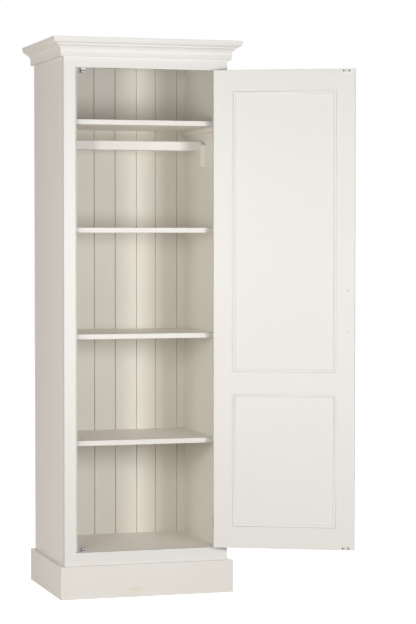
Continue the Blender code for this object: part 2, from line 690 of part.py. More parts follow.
def hinge_leaf(name, place_name, is_frame_leaf, pivot):
    """A leaf and its knuckles in one piece, bored for the pin and countersunk for screws."""
    root = KNUCKLE_RADIUS + JOINT_GAP
    tip = root + LEAF_WIDTH
    points = [(tip, -HINGE_LENGTH / 2), (tip, HINGE_LENGTH / 2), (root, HINGE_LENGTH / 2)]
    for low, high in reversed(knuckle_spans(is_frame_leaf)):
        points += [(root, high), (0, high), (0, low), (root, low)]
    points += [(root, -HINGE_LENGTH / 2)]
    side = 1 if is_frame_leaf else -1
    x, y = (axis_x, axis_y) if is_frame_leaf else (0, 0)
    z = hinge_middles[place_name]
    leaf = place(name, outline_mesh(points, LEAF_THICKNESS), STEEL,
                 (x + side * (leaf_inner + leaf_outer) / 2, y, z), ALONG_X, pivot)
    axis = Matrix.Translation((x, y, z))
    barrels = [(turned_mesh(rod_profile(KNUCKLE_RADIUS, low, high), ROUND_STEPS), axis)
               for low, high in knuckle_spans(is_frame_leaf)]
    tool(leaf, group_mesh(barrels), "UNION")
    if is_frame_leaf:
        tool(leaf, group_mesh([(pin_mesh(), axis)]), "UNION")
    else:
        reach = HINGE_LENGTH / 2 + CUT_OVERRUN
        bore = turned_mesh(rod_profile(PIN_RADIUS + PIN_CLEARANCE, -reach, reach), ROUND_STEPS)
        tool(leaf, group_mesh([(bore, axis)]))
    seats = hinge_screw_seats(place_name, is_frame_leaf)
    tool(leaf, group_mesh([(hinge_screw_hole(), seat) for seat in seats]))


def hinge_screw_seats(place_name, is_frame_leaf):
    """Where the heads of a leaf's two screws lie, with local Z pointing out of the wood."""
    side = 1 if is_frame_leaf else -1
    x, y = (axis_x, axis_y) if is_frame_leaf else (0, 0)
    y += KNUCKLE_RADIUS + JOINT_GAP + LEAF_WIDTH / 2
    turn = Matrix.Rotation(-side * RIGHT_ANGLE, 4, "Y")
    seats = []
    for step in (-1, 1):
        z = hinge_middles[place_name] + step * HINGE_SCREW_SPACING / 2
        seats.append(Matrix.Translation((x + side * leaf_inner, y, z)) @ turn)
    return seats


def countersunk_hole(head_radius, head_depth, radius, depth):
    """The cutter for a countersunk screw hole whose mouth is at Z = 0."""
    profile = [(0, CUT_OVERRUN), (head_radius, CUT_OVERRUN), (head_radius, 0), (radius, -head_depth),
               (radius, -depth), (0, -depth)]
    return turned_mesh(profile, SCREW_STEPS)


def hinge_screw_hole():
    """The cutter for one screw hole of a hinge leaf."""
    return countersunk_hole(HINGE_SCREW_HEAD_RADIUS, HINGE_SCREW_HEAD_DEPTH,
                            HINGE_SCREW_RADIUS, LEAF_THICKNESS + CUT_OVERRUN)


def pin_mesh():
    """A hinge pin with a button at each end, pressed into the frame leaf's knuckles."""
    end = HINGE_LENGTH / 2 - JOINT_GAP
    tip = end + PIN_BUTTON_HEIGHT
    profile = [(0, tip), (PIN_BUTTON_RADIUS, end + PIN_BUTTON_HEIGHT / 2), (PIN_BUTTON_RADIUS, end),
               (PIN_RADIUS, end), (PIN_RADIUS, -end), (PIN_BUTTON_RADIUS, -end),
               (PIN_BUTTON_RADIUS, -end - PIN_BUTTON_HEIGHT / 2), (0, -tip)]
    return turned_mesh(profile, ROUND_STEPS)


def catches():
    """A magnetic catch on the bottom panel and one under a block glued behind the top rail."""
    left, right = catch_x - CATCH_WIDTH / 2, catch_x + CATCH_WIDTH / 2
    rear = catch_front + CATCH_DEPTH
    middle = catch_front + CATCH_DEPTH / 2
    low = FLOOR_HEIGHT + JOINT_GAP
    high = opening_top - TOP_CATCH_DROP
    hole_top = CATCH_HEIGHT + CUT_OVERRUN
    hole = turned_mesh(rod_profile(CATCH_HOLE_RADIUS, -CUT_OVERRUN, hole_top), SCREW_STEPS)
    for name, base in (("bottom_catch", low), ("top_catch", high - CATCH_HEIGHT)):
        catch = box(name, (left, catch_front, base), (right, rear, base + CATCH_HEIGHT),
                    CATCH_CASE, ARRIS_RADIUS)
        screws = [Matrix.Translation((catch_x, middle + step * CATCH_SCREW_SPACING / 2, base))
                  for step in (-1, 1)]
        tool(catch, group_mesh([(hole, screw) for screw in screws]))
    block_low = high + JOINT_GAP
    block_high = block_low + CATCH_BLOCK_HEIGHT
    # Below the rail the block stands back like the catch, which leaves room for the keeper
    in_rail, above_edge = frame_back - CUT_OVERRUN, opening_top + CUT_OVERRUN
    points = [(in_rail, above_edge), (catch_front, above_edge), (catch_front, block_low),
              (rear, block_low), (rear, block_high), (in_rail, block_high)]
    block = outline_mesh(points, CATCH_BLOCK_WIDTH)
    seat = Matrix.Translation((catch_x, 0, 0)) @ Euler(ALONG_X).to_matrix().to_4x4()
    tool(bpy.data.objects["frame_top_rail"], group_mesh([(block, seat)]), "UNION")


def keepers(pivot):
    """Steel plates on the door's inner face that the catches hold."""
    low_y = door_back + JOINT_GAP
    high_y = low_y + KEEPER_THICKNESS
    outwards = Matrix.Rotation(-RIGHT_ANGLE, 4, "X")
    hole = countersunk_hole(KEEPER_SCREW_HEAD_RADIUS, KEEPER_SCREW_HEAD_DEPTH,
                            KEEPER_SCREW_RADIUS, KEEPER_THICKNESS + CUT_OVERRUN)
    for name, low in (("bottom_keeper", door_bottom + KEEPER_INSET),
                      ("top_keeper", door_top - KEEPER_INSET - KEEPER_HEIGHT)):
        plate = box(name, (keeper_middle - KEEPER_WIDTH / 2, low_y, low),
                    (keeper_middle + KEEPER_WIDTH / 2, high_y, low + KEEPER_HEIGHT), STEEL, parent=pivot)
        places = [(keeper_middle + step * KEEPER_SCREW_SPACING / 2, high_y, low + KEEPER_HEIGHT / 2)
                  for step in (-1, 1)]
        tool(plate, group_mesh([(hole, Matrix.Translation(point) @ outwards) for point in places]))


def handle_bow_mesh(x, base):
    """The handle's bow, a round bar that leaves each foot square to the door."""
    curve = bpy.data.curves.new("bow", "CURVE")
    curve.dimensions = "3D"
    curve.bevel_depth = HANDLE_RADIUS
    curve.bevel_resolution = HANDLE_SIDE_RESOLUTION
    curve.use_fill_caps = True
    spline = curve.splines.new("POLY")
    spline.points.add(HANDLE_STEPS)
    start = HANDLE_FOOT_HEIGHT / 2
    for step, point in enumerate(spline.points):
        angle = math.pi * step / HANDLE_STEPS
        across = math.copysign(abs(math.cos(angle)) ** HANDLE_BOW_POWER, math.cos(angle))
        rise = max(math.sin(angle), 0.0) ** HANDLE_BOW_POWER
        height = start + rise * (HANDLE_STANDOFF - start)
        point.co = (x, base - height, across * HANDLE_CENTRES / 2, 1.0)
    guide = bpy.data.objects.new("bow", curve)
    pieces.objects.link(guide)
    return made_mesh(guide)


def handle(free_stile, pivot):
    """A bow handle on the door's outer face, held by two bolts through the stile."""
    x = door_free_edge + HANDLE_FROM_EDGE
    z = door_middle - HANDLE_BELOW_MIDDLE
    base = door_front - JOINT_GAP
    outwards = Matrix.Rotation(RIGHT_ANGLE, 4, "X")
    ends = [Matrix.Translation((x, 0, z + step * HANDLE_CENTRES / 2)) for step in (-1, 1)]
    foot_seat = Matrix.Translation((0, base, 0)) @ outwards
    foot = turned_mesh(rod_profile(HANDLE_FOOT_RADIUS, 0, HANDLE_FOOT_HEIGHT), ROUND_STEPS)
    bow = place("door_handle", handle_bow_mesh(x, base), HANDLE_METAL, (0, 0, z), parent=pivot)
    tool(bow, group_mesh([(foot, end @ foot_seat) for end in ends]), "UNION")

    head_face = JOINT_GAP + BOLT_HEAD_HEIGHT
    tip = -DOOR_THICKNESS - BOLT_BITE
    profile = [(0, head_face), (BOLT_HEAD_RADIUS, JOINT_GAP + BOLT_HEAD_HEIGHT / 2),
               (BOLT_HEAD_RADIUS, JOINT_GAP), (BOLT_RADIUS, JOINT_GAP), (BOLT_RADIUS, tip), (0, tip)]
    bolt = turned_mesh(profile, ROUND_STEPS)
    hole = turned_mesh(rod_profile(BOLT_RADIUS + JOINT_GAP, -DOOR_THICKNESS - CUT_OVERRUN, CUT_OVERRUN),
                       ROUND_STEPS)
    seat = Matrix.Translation((0, door_back, 0)) @ Matrix.Rotation(-RIGHT_ANGLE, 4, "X")
    tool(bow, group_mesh([(bolt, end @ seat) for end in ends]), "UNION")
    tool(free_stile, group_mesh([(hole, end @ seat) for end in ends]))


def door():
    """The door and all that it carries, under an empty on the hinge axis."""
    pivot = bpy.data.objects.new("door_pivot", None)
    pieces.objects.link(pivot)
    pivot.location = (axis_x, axis_y, 0)
    pivot.rotation_euler = (0, 0, math.radians(DOOR_REST_DEGREES))
    free_stile = door_stile("door_free_stile", door_free_edge, panel_left, pivot)
    door_stile("door_hinge_stile", panel_right, door_hinge_edge, pivot)
    door_rail("door_bottom_rail", door_bottom, lower_panel_bottom, False, True, pivot)
    door_rail("door_middle_rail", lower_panel_top, upper_panel_bottom, True, True, pivot)
    door_rail("door_top_rail", upper_panel_top, door_top, True, False, pivot)
    door_panel("door_lower_panel", lower_panel_bottom, lower_panel_top, pivot)
    door_panel("door_upper_panel", upper_panel_bottom, upper_panel_top, pivot)
    door_beads("door_lower", lower_panel_bottom, lower_panel_top, pivot)
    door_beads("door_upper", upper_panel_bottom, upper_panel_top, pivot)
    for place_name in hinge_middles:
        hinge_leaf(f"hinge_frame_leaf_{place_name}", place_name, True, None)
        hinge_leaf(f"hinge_door_leaf_{place_name}", place_name, False, pivot)
    keepers(pivot)
    handle(free_stile, pivot)


carcass_panels()
face_frame()
back_boards()
three_sided("cornice", cornice_profile())
three_sided("plinth", plinth_profile())
shelves()
hanging_rail()
catches()
door()
bpy.context.view_layer.update()
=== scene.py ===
"""The looks of a tall painted cupboard with one framed and panelled door, standing open.

Units are metres. X runs to the right along the front, Y from front to back, Z is up. The file
follows the cupboard as it is put together: carcass, face frame, back, mouldings, shelves,
hanging rail, door and its fittings, and then the studio that it stands in.
"""
import json
import math

import bmesh
import bpy
from mathutils import Matrix, Vector

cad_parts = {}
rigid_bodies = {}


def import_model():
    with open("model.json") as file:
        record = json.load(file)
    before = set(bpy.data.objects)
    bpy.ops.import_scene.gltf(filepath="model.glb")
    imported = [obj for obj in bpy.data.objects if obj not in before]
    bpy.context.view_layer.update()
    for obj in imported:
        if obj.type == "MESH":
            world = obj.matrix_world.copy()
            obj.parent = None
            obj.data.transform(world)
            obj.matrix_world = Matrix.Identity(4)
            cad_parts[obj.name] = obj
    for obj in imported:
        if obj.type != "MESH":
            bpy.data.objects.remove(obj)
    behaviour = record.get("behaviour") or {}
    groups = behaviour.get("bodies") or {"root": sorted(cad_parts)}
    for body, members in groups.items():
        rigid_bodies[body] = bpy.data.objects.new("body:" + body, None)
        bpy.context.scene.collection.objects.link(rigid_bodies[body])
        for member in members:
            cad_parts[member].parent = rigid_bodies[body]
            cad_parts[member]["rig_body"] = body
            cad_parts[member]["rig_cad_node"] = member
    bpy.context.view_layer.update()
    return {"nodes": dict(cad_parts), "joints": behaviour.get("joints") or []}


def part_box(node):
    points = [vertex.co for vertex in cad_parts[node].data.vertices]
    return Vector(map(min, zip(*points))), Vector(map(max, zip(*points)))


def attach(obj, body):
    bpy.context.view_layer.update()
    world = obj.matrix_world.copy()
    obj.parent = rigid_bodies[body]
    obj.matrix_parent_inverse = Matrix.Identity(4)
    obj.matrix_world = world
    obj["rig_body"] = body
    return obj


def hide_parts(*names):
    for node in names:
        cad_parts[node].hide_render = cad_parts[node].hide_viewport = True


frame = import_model()
nodes = frame["nodes"]


# Sides and top. Planed softwood boards, rubbed down and brushed along their length with off-white
# satin paint. The paint fills the pores, so the eye sees a soft shine with only a trace of grain and
# brush marks. The one paint is given in copies of different lightness by where light falls: the
# outer faces of the sides and the top take a lighter copy, painted light, and the faces that look
# into the cupboard a darker one, painted shade.
# Lighter copy of the one paint for the outer faces of the sides and top: painted light.
LIGHTENED_SIDE_PAINT = "F3EEE7"
LIGHTENED_SIDE_PAINT_THIN = "F0EAE1"
# Darker copy of the paint for the faces inside the cupboard: painted shade.
SHADED_INSIDE_PAINT = "E9E6DE"
SHADED_INSIDE_PAINT_THIN = "E6E1D7"
GRAIN_WIDTH = 0.007
GRAIN_LENGTH = 0.32
GRAIN_DETAIL = 3.0
BRUSH_WIDTH = 0.0018
BRUSH_LENGTH = 0.09
BRUSH_DETAIL = 2.0
PATCH_SIZE = 0.35
PATCH_DETAIL = 1.0
STREAK_ROUGHNESS = 0.55
UNEVEN_FROM = 0.15
UNEVEN_TO = 0.45
THIN_SHARE = 0.5
SATIN = 0.42
SHEEN_SPREAD = 0.05
GRAIN_HEIGHT = 0.00005
BRUSH_HEIGHT = 0.000012
RELIEF = 0.6
RIGHT_ANGLE = math.pi / 2
ALONG_X = (0, RIGHT_ANGLE, 0)
ALONG_Y = (-RIGHT_ANGLE, 0, 0)
UPRIGHT = (0, 0, 0)


def linear(hex_colour):
    """The linear colour of an sRGB one written as six hex digits."""
    values = []
    for start in (0, 2, 4):
        value = int(hex_colour[start:start + 2], 16) / 255
        values.append(value / 12.92 if value <= 0.04045 else ((value + 0.055) / 1.055) ** 2.4)
    return (*values, 1.0)


def add_node(tree, kind, inputs=None, **settings):
    """Adds a node, with its settings, and the values or links of its inputs."""
    node = tree.nodes.new(kind)
    for name, value in settings.items():
        setattr(node, name, value)
    for name, value in (inputs or {}).items():
        if isinstance(value, bpy.types.NodeSocket):
            tree.links.new(value, node.inputs[name])
        else:
            node.inputs[name].default_value = value
    return node


def new_material(name):
    """A material with its tree and its shader."""
    material = bpy.data.materials.new(name)
    material.use_nodes = True
    return material, material.node_tree, material.node_tree.nodes["Principled BSDF"]


def streaks(tree, turn, width, length, detail):
    """Noise drawn out along a board, with streaks of a real width and length."""
    place = add_node(tree, "ShaderNodeTexCoord")
    board = add_node(tree, "ShaderNodeMapping", {"Vector": place.outputs["Object"], "Rotation": turn,
                                                 "Scale": (width, width, length)}, vector_type="TEXTURE")
    return add_node(tree, "ShaderNodeTexNoise", {
        "Vector": board.outputs["Vector"], "Scale": 1.0, "Detail": detail,
        "Roughness": STREAK_ROUGHNESS}).outputs["Fac"]


def painted_wood(name, turn, paint, thin, gloss):
    """Satin paint on a planed board, whose grain runs along the turned Z."""
    material, tree, shader = new_material(name)
    grain = streaks(tree, turn, GRAIN_WIDTH, GRAIN_LENGTH, GRAIN_DETAIL)
    brush = streaks(tree, turn, BRUSH_WIDTH, BRUSH_LENGTH, BRUSH_DETAIL)
    patches = streaks(tree, turn, PATCH_SIZE, PATCH_SIZE, PATCH_DETAIL)
    uneven = add_node(tree, "ShaderNodeMath", {0: grain, 1: patches}, operation="MULTIPLY")
    cover = add_node(tree, "ShaderNodeMapRange", {
        "Value": uneven.outputs[0], "From Min": UNEVEN_FROM, "From Max": UNEVEN_TO,
        "To Min": 0.0, "To Max": THIN_SHARE})
    tint = add_node(tree, "ShaderNodeMix", {"Factor": cover.outputs[0], "A": linear(paint),
                                            "B": linear(thin)}, data_type="RGBA")
    sheen = add_node(tree, "ShaderNodeMapRange", {
        "Value": brush, "To Min": gloss - SHEEN_SPREAD, "To Max": gloss + SHEEN_SPREAD})
    raised = add_node(tree, "ShaderNodeBump", {
        "Height": grain, "Distance": GRAIN_HEIGHT, "Strength": RELIEF})
    brushed = add_node(tree, "ShaderNodeBump", {
        "Height": brush, "Distance": BRUSH_HEIGHT, "Strength": RELIEF, "Normal": raised.outputs["Normal"]})
    tree.links.new(tint.outputs["Result"], shader.inputs["Base Color"])
    tree.links.new(sheen.outputs[0], shader.inputs["Roughness"])
    tree.links.new(brushed.outputs["Normal"], shader.inputs["Normal"])
    return material


def stain_and_painted_light(material, share, colour):
    """Lays a second colour over a surface by a share from 0 to 1: a knot, or painted light and shade."""
    tree = material.node_tree
    shader = tree.nodes["Principled BSDF"]
    stained = add_node(tree, "ShaderNodeMix", {
        "Factor": share, "A": shader.inputs["Base Color"].links[0].from_socket, "B": linear(colour)},
        data_type="RGBA")
    tree.links.new(stained.outputs["Result"], shader.inputs["Base Color"])


def facing(tree, axis):
    """How far a surface faces along an axis, from -1 to 1."""
    normal = add_node(tree, "ShaderNodeNewGeometry").outputs["True Normal"]
    return add_node(tree, "ShaderNodeSeparateXYZ", {0: normal}).outputs[axis]


def finish(material, *names):
    """Gives CAD nodes their finish in place of the plain one."""
    for name in names:
        slots = nodes[name].data.materials
        slots.clear()
        slots.append(material)


side_upright = painted_wood("satin_side_paint_upright", UPRIGHT, LIGHTENED_SIDE_PAINT, LIGHTENED_SIDE_PAINT_THIN, SATIN)
tree = side_upright.node_tree
place = add_node(tree, "ShaderNodeTexCoord").outputs["Object"]
sideways = add_node(tree, "ShaderNodeSeparateXYZ", {0: place}).outputs["X"]
# Faces of the side panels that look into the cupboard take the darker inside copy: painted shade.
outward = add_node(tree, "ShaderNodeMath", {0: sideways, 1: facing(tree, "X")}, operation="MULTIPLY")
inward_painted_shade = add_node(tree, "ShaderNodeMath", {0: outward.outputs[0], 1: 0.0}, operation="LESS_THAN")
stain_and_painted_light(side_upright, inward_painted_shade.outputs[0], SHADED_INSIDE_PAINT)
side_level = painted_wood("satin_side_paint_level", ALONG_X, LIGHTENED_SIDE_PAINT, LIGHTENED_SIDE_PAINT_THIN, SATIN)
side_deep = painted_wood("satin_side_paint_deep", ALONG_Y, LIGHTENED_SIDE_PAINT, LIGHTENED_SIDE_PAINT_THIN, SATIN)
finish(side_upright, "left_side_panel", "right_side_panel")
finish(side_level, "top_panel")


# Face frame. Two full-height stiles with a rail at the top and the bottom, glued, planed flush and
# painted as one in satin, so that no joint shows, in a darker copy of the paint that is painted
# shade against the stronger light on the front. A small block behind the top rail carries a catch,
# and a plain lath behind the left stile stops the door, both in the darker inside copy, painted
# shade.
FRAME_ARRIS = 0.001
FRAME_CORNER = 0.002
ARRIS_STEPS = 3
NEAR = 0.00001
CURVE_DEGREES = 30
FLAT_DEGREES = 1
STRAIGHT = 0.9
BELOW_FLOOR = -1.0
# Darker copy of the paint for the faces that look to the front: painted shade.
DARKENED_FRONT_PAINT = "E1E0DE"
DARKENED_FRONT_PAINT_THIN = "DEDCD7"
EGGSHELL = 0.5
front_upright = painted_wood("satin_front_paint_upright", UPRIGHT, DARKENED_FRONT_PAINT, DARKENED_FRONT_PAINT_THIN, SATIN)
front_level = painted_wood("satin_front_paint_level", ALONG_X, DARKENED_FRONT_PAINT, DARKENED_FRONT_PAINT_THIN, SATIN)
inside_upright = painted_wood("eggshell_paint_upright", UPRIGHT, SHADED_INSIDE_PAINT, SHADED_INSIDE_PAINT_THIN, EGGSHELL)


def corners(points):
    """The lowest and highest corners of the box round some points."""
    points = list(points)
    low = Vector([min(point[axis] for point in points) for axis in range(3)])
    high = Vector([max(point[axis] for point in points) for axis in range(3)])
    return low, high


def pick_faces(piece, test):
    """Selects, in edit mode, the faces whose middle and normal pass a test."""
    bpy.ops.mesh.select_mode(type="FACE")
    bpy.ops.mesh.select_all(action="DESELECT")
    mesh = bmesh.from_edit_mesh(piece.data)
    for face in mesh.faces:
        face.select_set(bool(test(face.calc_center_median(), face.normal)))
    bmesh.update_edit_mesh(piece.data)


def pick_edges(piece, test):
    """Selects, in edit mode, the edges whose two ends both pass a test."""
    bpy.ops.mesh.select_mode(type="EDGE")
    bpy.ops.mesh.select_all(action="DESELECT")
    mesh = bmesh.from_edit_mesh(piece.data)
    for edge in mesh.edges:
        edge.select_set(all(test(end.co) for end in edge.verts))
    bmesh.update_edit_mesh(piece.data)


def round_edges(piece, radius, test):
    """Rounds, in edit mode, the edges whose two ends both pass a test."""
    pick_edges(piece, test)
    bpy.ops.mesh.bevel(offset=radius, segments=ARRIS_STEPS, affect="EDGES")


def planed_frame(name, low, high, openings):
    """Stiles and rails as one flush piece, left in edit mode. An opening is left, right, low, high."""
    bpy.ops.object.select_all(action="DESELECT")
    bpy.ops.mesh.primitive_plane_add(size=1.0, rotation=(RIGHT_ANGLE, 0, 0), location=(
        (low.x + high.x) / 2, low.y, (low.z + high.z) / 2))
    piece = bpy.context.object
    piece.name = name
    piece.scale = (high.x - low.x, high.z - low.z, 1)
    bpy.ops.object.transform_apply()
    bpy.ops.object.mode_set(mode="EDIT")
    cuts = {(axis, place) for opening in openings for axis, place in zip((0, 0, 2, 2), opening)}
    for axis, place in sorted(cuts):
        if low[axis] < place < high[axis]:
            across = Vector((axis == 0, 0, axis == 2))
            bpy.ops.mesh.select_all(action="SELECT")
            bpy.ops.mesh.bisect(plane_co=across * place, plane_no=across)
    pick_faces(piece, lambda middle, normal: any(
        left < middle.x < right and bottom < middle.z < top for left, right, bottom, top in openings))
    bpy.ops.mesh.delete(type="FACE")
    bpy.ops.mesh.select_all(action="SELECT")
    bpy.ops.mesh.extrude_region_move(TRANSFORM_OT_translate={"value": (0, high.y - low.y, 0)})
    bpy.ops.mesh.select_all(action="SELECT")
    bpy.ops.mesh.normals_make_consistent(inside=False)
    return piece


def shade(piece):
    """Ends the shaping of a piece, and shades its curves smooth and its flats flat."""
    bpy.ops.object.mode_set(mode="OBJECT")
    bpy.ops.object.shade_smooth_by_angle(angle=math.radians(CURVE_DEGREES))
    bpy.ops.object.modifier_add(type="WEIGHTED_NORMAL")
    piece.modifiers[-1].keep_sharp = True
    bpy.ops.object.modifier_apply(modifier=piece.modifiers[-1].name)


def paint_frame(piece, stile_paint, rail_paint, left, right):
    """Brushes the stiles upright, and the rails between them level."""
    piece.data.materials.append(stile_paint)
    piece.data.materials.append(rail_paint)
    for face in piece.data.polygons:
        face.material_index = int(left < face.center.x < right)


def fit(piece, body, slot, *stands_for):
    """Fixes a finished piece to its body, and hides the nodes that it stands for. The slot is not used."""
    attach(piece, body)
    if stands_for:
        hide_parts(*stands_for)


left_stile_low, left_stile_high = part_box("left_frame_stile")
right_stile_low, right_stile_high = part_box("right_frame_stile")
bottom_rail_low, bottom_rail_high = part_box("frame_bottom_rail")
frame_front, frame_back = left_stile_low.y, left_stile_high.y
opening_left, opening_right = left_stile_high.x, right_stile_low.x
top_rail_points = [vertex.co for vertex in nodes["frame_top_rail"].data.vertices]
opening_top = min(point.z for point in top_rail_points if point.y < frame_back - NEAR)
main_opening = (opening_left, opening_right, bottom_rail_high.z, opening_top)
foot_opening = (opening_left, opening_right, BELOW_FLOOR, bottom_rail_low.z)
face_frame = planed_frame("face_frame", left_stile_low, right_stile_high, [main_opening, foot_opening])
round_edges(face_frame, FRAME_CORNER, lambda end: (
    end.y < frame_front + NEAR
    and (end.x < left_stile_low.x + NEAR or end.x > right_stile_high.x - NEAR)))
round_edges(face_frame, FRAME_ARRIS, lambda end: (
    end.y < frame_front + NEAR
    and opening_left - NEAR < end.x < opening_right + NEAR
    and bottom_rail_high.z - NEAR < end.z < opening_top + NEAR))
shade(face_frame)
paint_frame(face_frame, front_upright, front_level, opening_left, opening_right)
fit(face_frame, "carcass", "front_paint",
    "left_frame_stile", "right_frame_stile", "frame_top_rail", "frame_bottom_rail")

block_points = [point for point in top_rail_points if point.y > frame_back + NEAR]
block_low, block_high = corners(block_points)
step_height = max(point.z for point in block_points if point.y < block_low.y + NEAR)
bpy.ops.object.select_all(action="DESELECT")
bpy.ops.mesh.primitive_cube_add(size=1.0, location=(block_low + block_high) / 2)
catch_block = bpy.context.object
catch_block.name = "top_catch_block"
catch_block.scale = block_high - block_low
bpy.ops.object.transform_apply()
bpy.ops.object.mode_set(mode="EDIT")
bpy.ops.mesh.bisect(plane_co=(0, 0, step_height), plane_no=(0, 0, 1))
pick_faces(catch_block, lambda middle, normal: normal.y < -STRAIGHT and middle.z > step_height)
bpy.ops.mesh.extrude_region_move(TRANSFORM_OT_translate={"value": (0, frame_back - block_low.y, 0)})
bpy.ops.mesh.select_all(action="SELECT")
bpy.ops.mesh.dissolve_limited(angle_limit=math.radians(FLAT_DEGREES))
bpy.ops.mesh.normals_make_consistent(inside=False)
round_edges(catch_block, FRAME_ARRIS, lambda end: end.z < block_low.z + NEAR)
shade(catch_block)
catch_block.data.materials.append(inside_upright)
fit(catch_block, "carcass", "inside_paint")
finish(inside_upright, "door_stop_lath")


# Back. Tongued and grooved softwood boards with chamfered edges that make a V at each joint,
# nailed up from behind and painted in place, in the darker inside copy of the paint, painted shade.
# The chamfers of each V are tinted darker still, painted shade for the shade inside the joints.
BACK_BOARDS = 8
JOINT_PAINTED_SHADE = "DCD4C6"
JOINT_SLOPE_FROM = 0.3
JOINT_SLOPE_TO = 0.6
boards_paint = painted_wood("eggshell_paint_boards", UPRIGHT, SHADED_INSIDE_PAINT, SHADED_INSIDE_PAINT_THIN, EGGSHELL)
tree = boards_paint.node_tree
slope = add_node(tree, "ShaderNodeMath", {0: facing(tree, "X")}, operation="ABSOLUTE").outputs[0]
in_joint = add_node(tree, "ShaderNodeMapRange", {
    "Value": slope, "From Min": JOINT_SLOPE_FROM, "From Max": JOINT_SLOPE_TO})
stain_and_painted_light(boards_paint, in_joint.outputs[0], JOINT_PAINTED_SHADE)
for number in range(1, BACK_BOARDS + 1):
    finish(boards_paint, f"back_board_{number}")


# Cornice. Three lengths of a run moulding with an ovolo above a cavetto, mitred at the front
# corners, glued and pinned round the head of the carcass, filled and painted.
def smooth_copy(node, material, body, slot):
    """A copy of a curved CAD node with its curves shaded smooth, which stands for it."""
    bpy.ops.object.select_all(action="DESELECT")
    piece = nodes[node].copy()
    piece.data = nodes[node].data.copy()
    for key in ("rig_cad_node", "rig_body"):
        del piece[key]
    piece.parent = None
    piece.name = node + ("_painted" if "paint" in slot else "_metal")
    bpy.context.scene.collection.objects.link(piece)
    piece.select_set(True)
    bpy.context.view_layer.objects.active = piece
    bpy.ops.object.mode_set(mode="EDIT")
    bpy.ops.mesh.select_all(action="SELECT")
    bpy.ops.mesh.remove_doubles(threshold=NEAR)
    shade(piece)
    piece.data.materials.clear()
    piece.data.materials.append(material)
    fit(piece, body, slot, node)
    return piece


# The front length takes the darker front copy of the paint, painted shade, and the side lengths the lighter
# side copy, painted light.
smooth_copy("cornice_front", front_level, "carcass", "front_paint")
for name in ("cornice_left", "cornice_right"):
    smooth_copy(name, side_deep, "carcass", "side_paint")


# Plinth. Three plain boards mitred at the front corners and planted on the foot of the carcass.
# A knot in the front board shows faintly through the paint, a little left of the middle. The front
# board takes a darker copy of the paint, painted shade, and the sides the lighter side copy,
# painted light.
KNOT_PLACE = (-0.048, 0.0, 0.027)
KNOT_SIZE = (0.028, 1.0, 0.010)
KNOT = "DDD0BA"
KNOT_STRENGTH = 0.5
KNOT_HEART = 0.2
KNOT_RIM = 1.3
DARKENED_PLINTH_PAINT = "E4E2DE"
DARKENED_PLINTH_PAINT_THIN = "E1DDD7"
knotted_wood = painted_wood("satin_paint_knotted", ALONG_X, DARKENED_PLINTH_PAINT, DARKENED_PLINTH_PAINT_THIN, SATIN)
tree = knotted_wood.node_tree
place = add_node(tree, "ShaderNodeTexCoord").outputs["Object"]
spot = add_node(tree, "ShaderNodeMapping", {
    "Vector": place, "Location": KNOT_PLACE, "Scale": KNOT_SIZE}, vector_type="TEXTURE")
reach = add_node(tree, "ShaderNodeVectorMath", {0: spot.outputs["Vector"]}, operation="LENGTH")
knot = add_node(tree, "ShaderNodeMapRange", {
    "Value": reach.outputs["Value"], "From Min": KNOT_HEART, "From Max": KNOT_RIM,
    "To Min": KNOT_STRENGTH, "To Max": 0.0}, interpolation_type="SMOOTHSTEP")
stain_and_painted_light(knotted_wood, knot.outputs[0], KNOT)
finish(knotted_wood, "plinth_front")
finish(side_deep, "plinth_left", "plinth_right")


# Floor panel and shelves. Glued-up softwood boards, the shelves loose on a small cleat at either
# side. They are painted on a bench in a hard satin paint, their tops and undersides in a lighter
# copy that is painted light from above, their front edges in a darker copy like the face frame's,
# painted shade, and the cleats in the darker inside copy, painted shade.
SHELVES = 4
LIT_BOARD_PAINT = "F2EEE8"
LIT_BOARD_PAINT_THIN = "EFEAE2"
DARKENED_EDGE_PAINT = "E0DEDA"
DARKENED_EDGE_PAINT_THIN = "DDDAD3"
shelf_paint = painted_wood("satin_shelf_paint", ALONG_X, LIT_BOARD_PAINT, LIT_BOARD_PAINT_THIN, SATIN)
tree = shelf_paint.node_tree
at_front = add_node(tree, "ShaderNodeMath", {0: facing(tree, "Y"), 1: -STRAIGHT}, operation="LESS_THAN")
stain_and_painted_light(shelf_paint, at_front.outputs[0], DARKENED_EDGE_PAINT)
rail_paint = painted_wood("satin_rail_paint", ALONG_X, DARKENED_EDGE_PAINT, DARKENED_EDGE_PAINT_THIN, SATIN)
inside_deep = painted_wood("eggshell_paint_deep", ALONG_Y, SHADED_INSIDE_PAINT, SHADED_INSIDE_PAINT_THIN, EGGSHELL)
finish(shelf_paint, "bottom_panel")
for number in range(1, SHELVES + 1):
    finish(shelf_paint, f"shelf_{number}")
    finish(inside_deep, f"shelf_{number}_cleat_left", f"shelf_{number}_cleat_right")


# Hanging rail. A lath on edge with rounded arrises, in the darker copy of the paint that the
# shelves' front edges take, painted shade, dropped into open notches in two blocks that are screwed
# to the sides, which take the darker inside copy, also painted shade.
smooth_copy("hanging_rail", rail_paint, "carcass", "inside_paint")
finish(inside_deep, "rail_block_left", "rail_block_right")


# Door. Two stiles and three rails, glued with stub tenons in a groove that also holds two flat
# panels, planed flush and sprayed flat on a bench, with a mitred bead round each panel.
DOOR_DEGREES = 154
DOOR_ARRIS = 0.001
GROOVE_FIT = 0.0003
ALONG_DOOR = (0, RIGHT_ANGLE, math.radians(DOOR_DEGREES - 180))
HINGE_AXIS = Vector(frame["joints"][0]["pos_m"])
OPEN_DOOR = (Matrix.Translation(HINGE_AXIS) @ Matrix.Rotation(math.radians(DOOR_DEGREES), 4, "Z")
             @ Matrix.Translation(-HINGE_AXIS))
SHUT_DOOR = OPEN_DOOR.inverted()
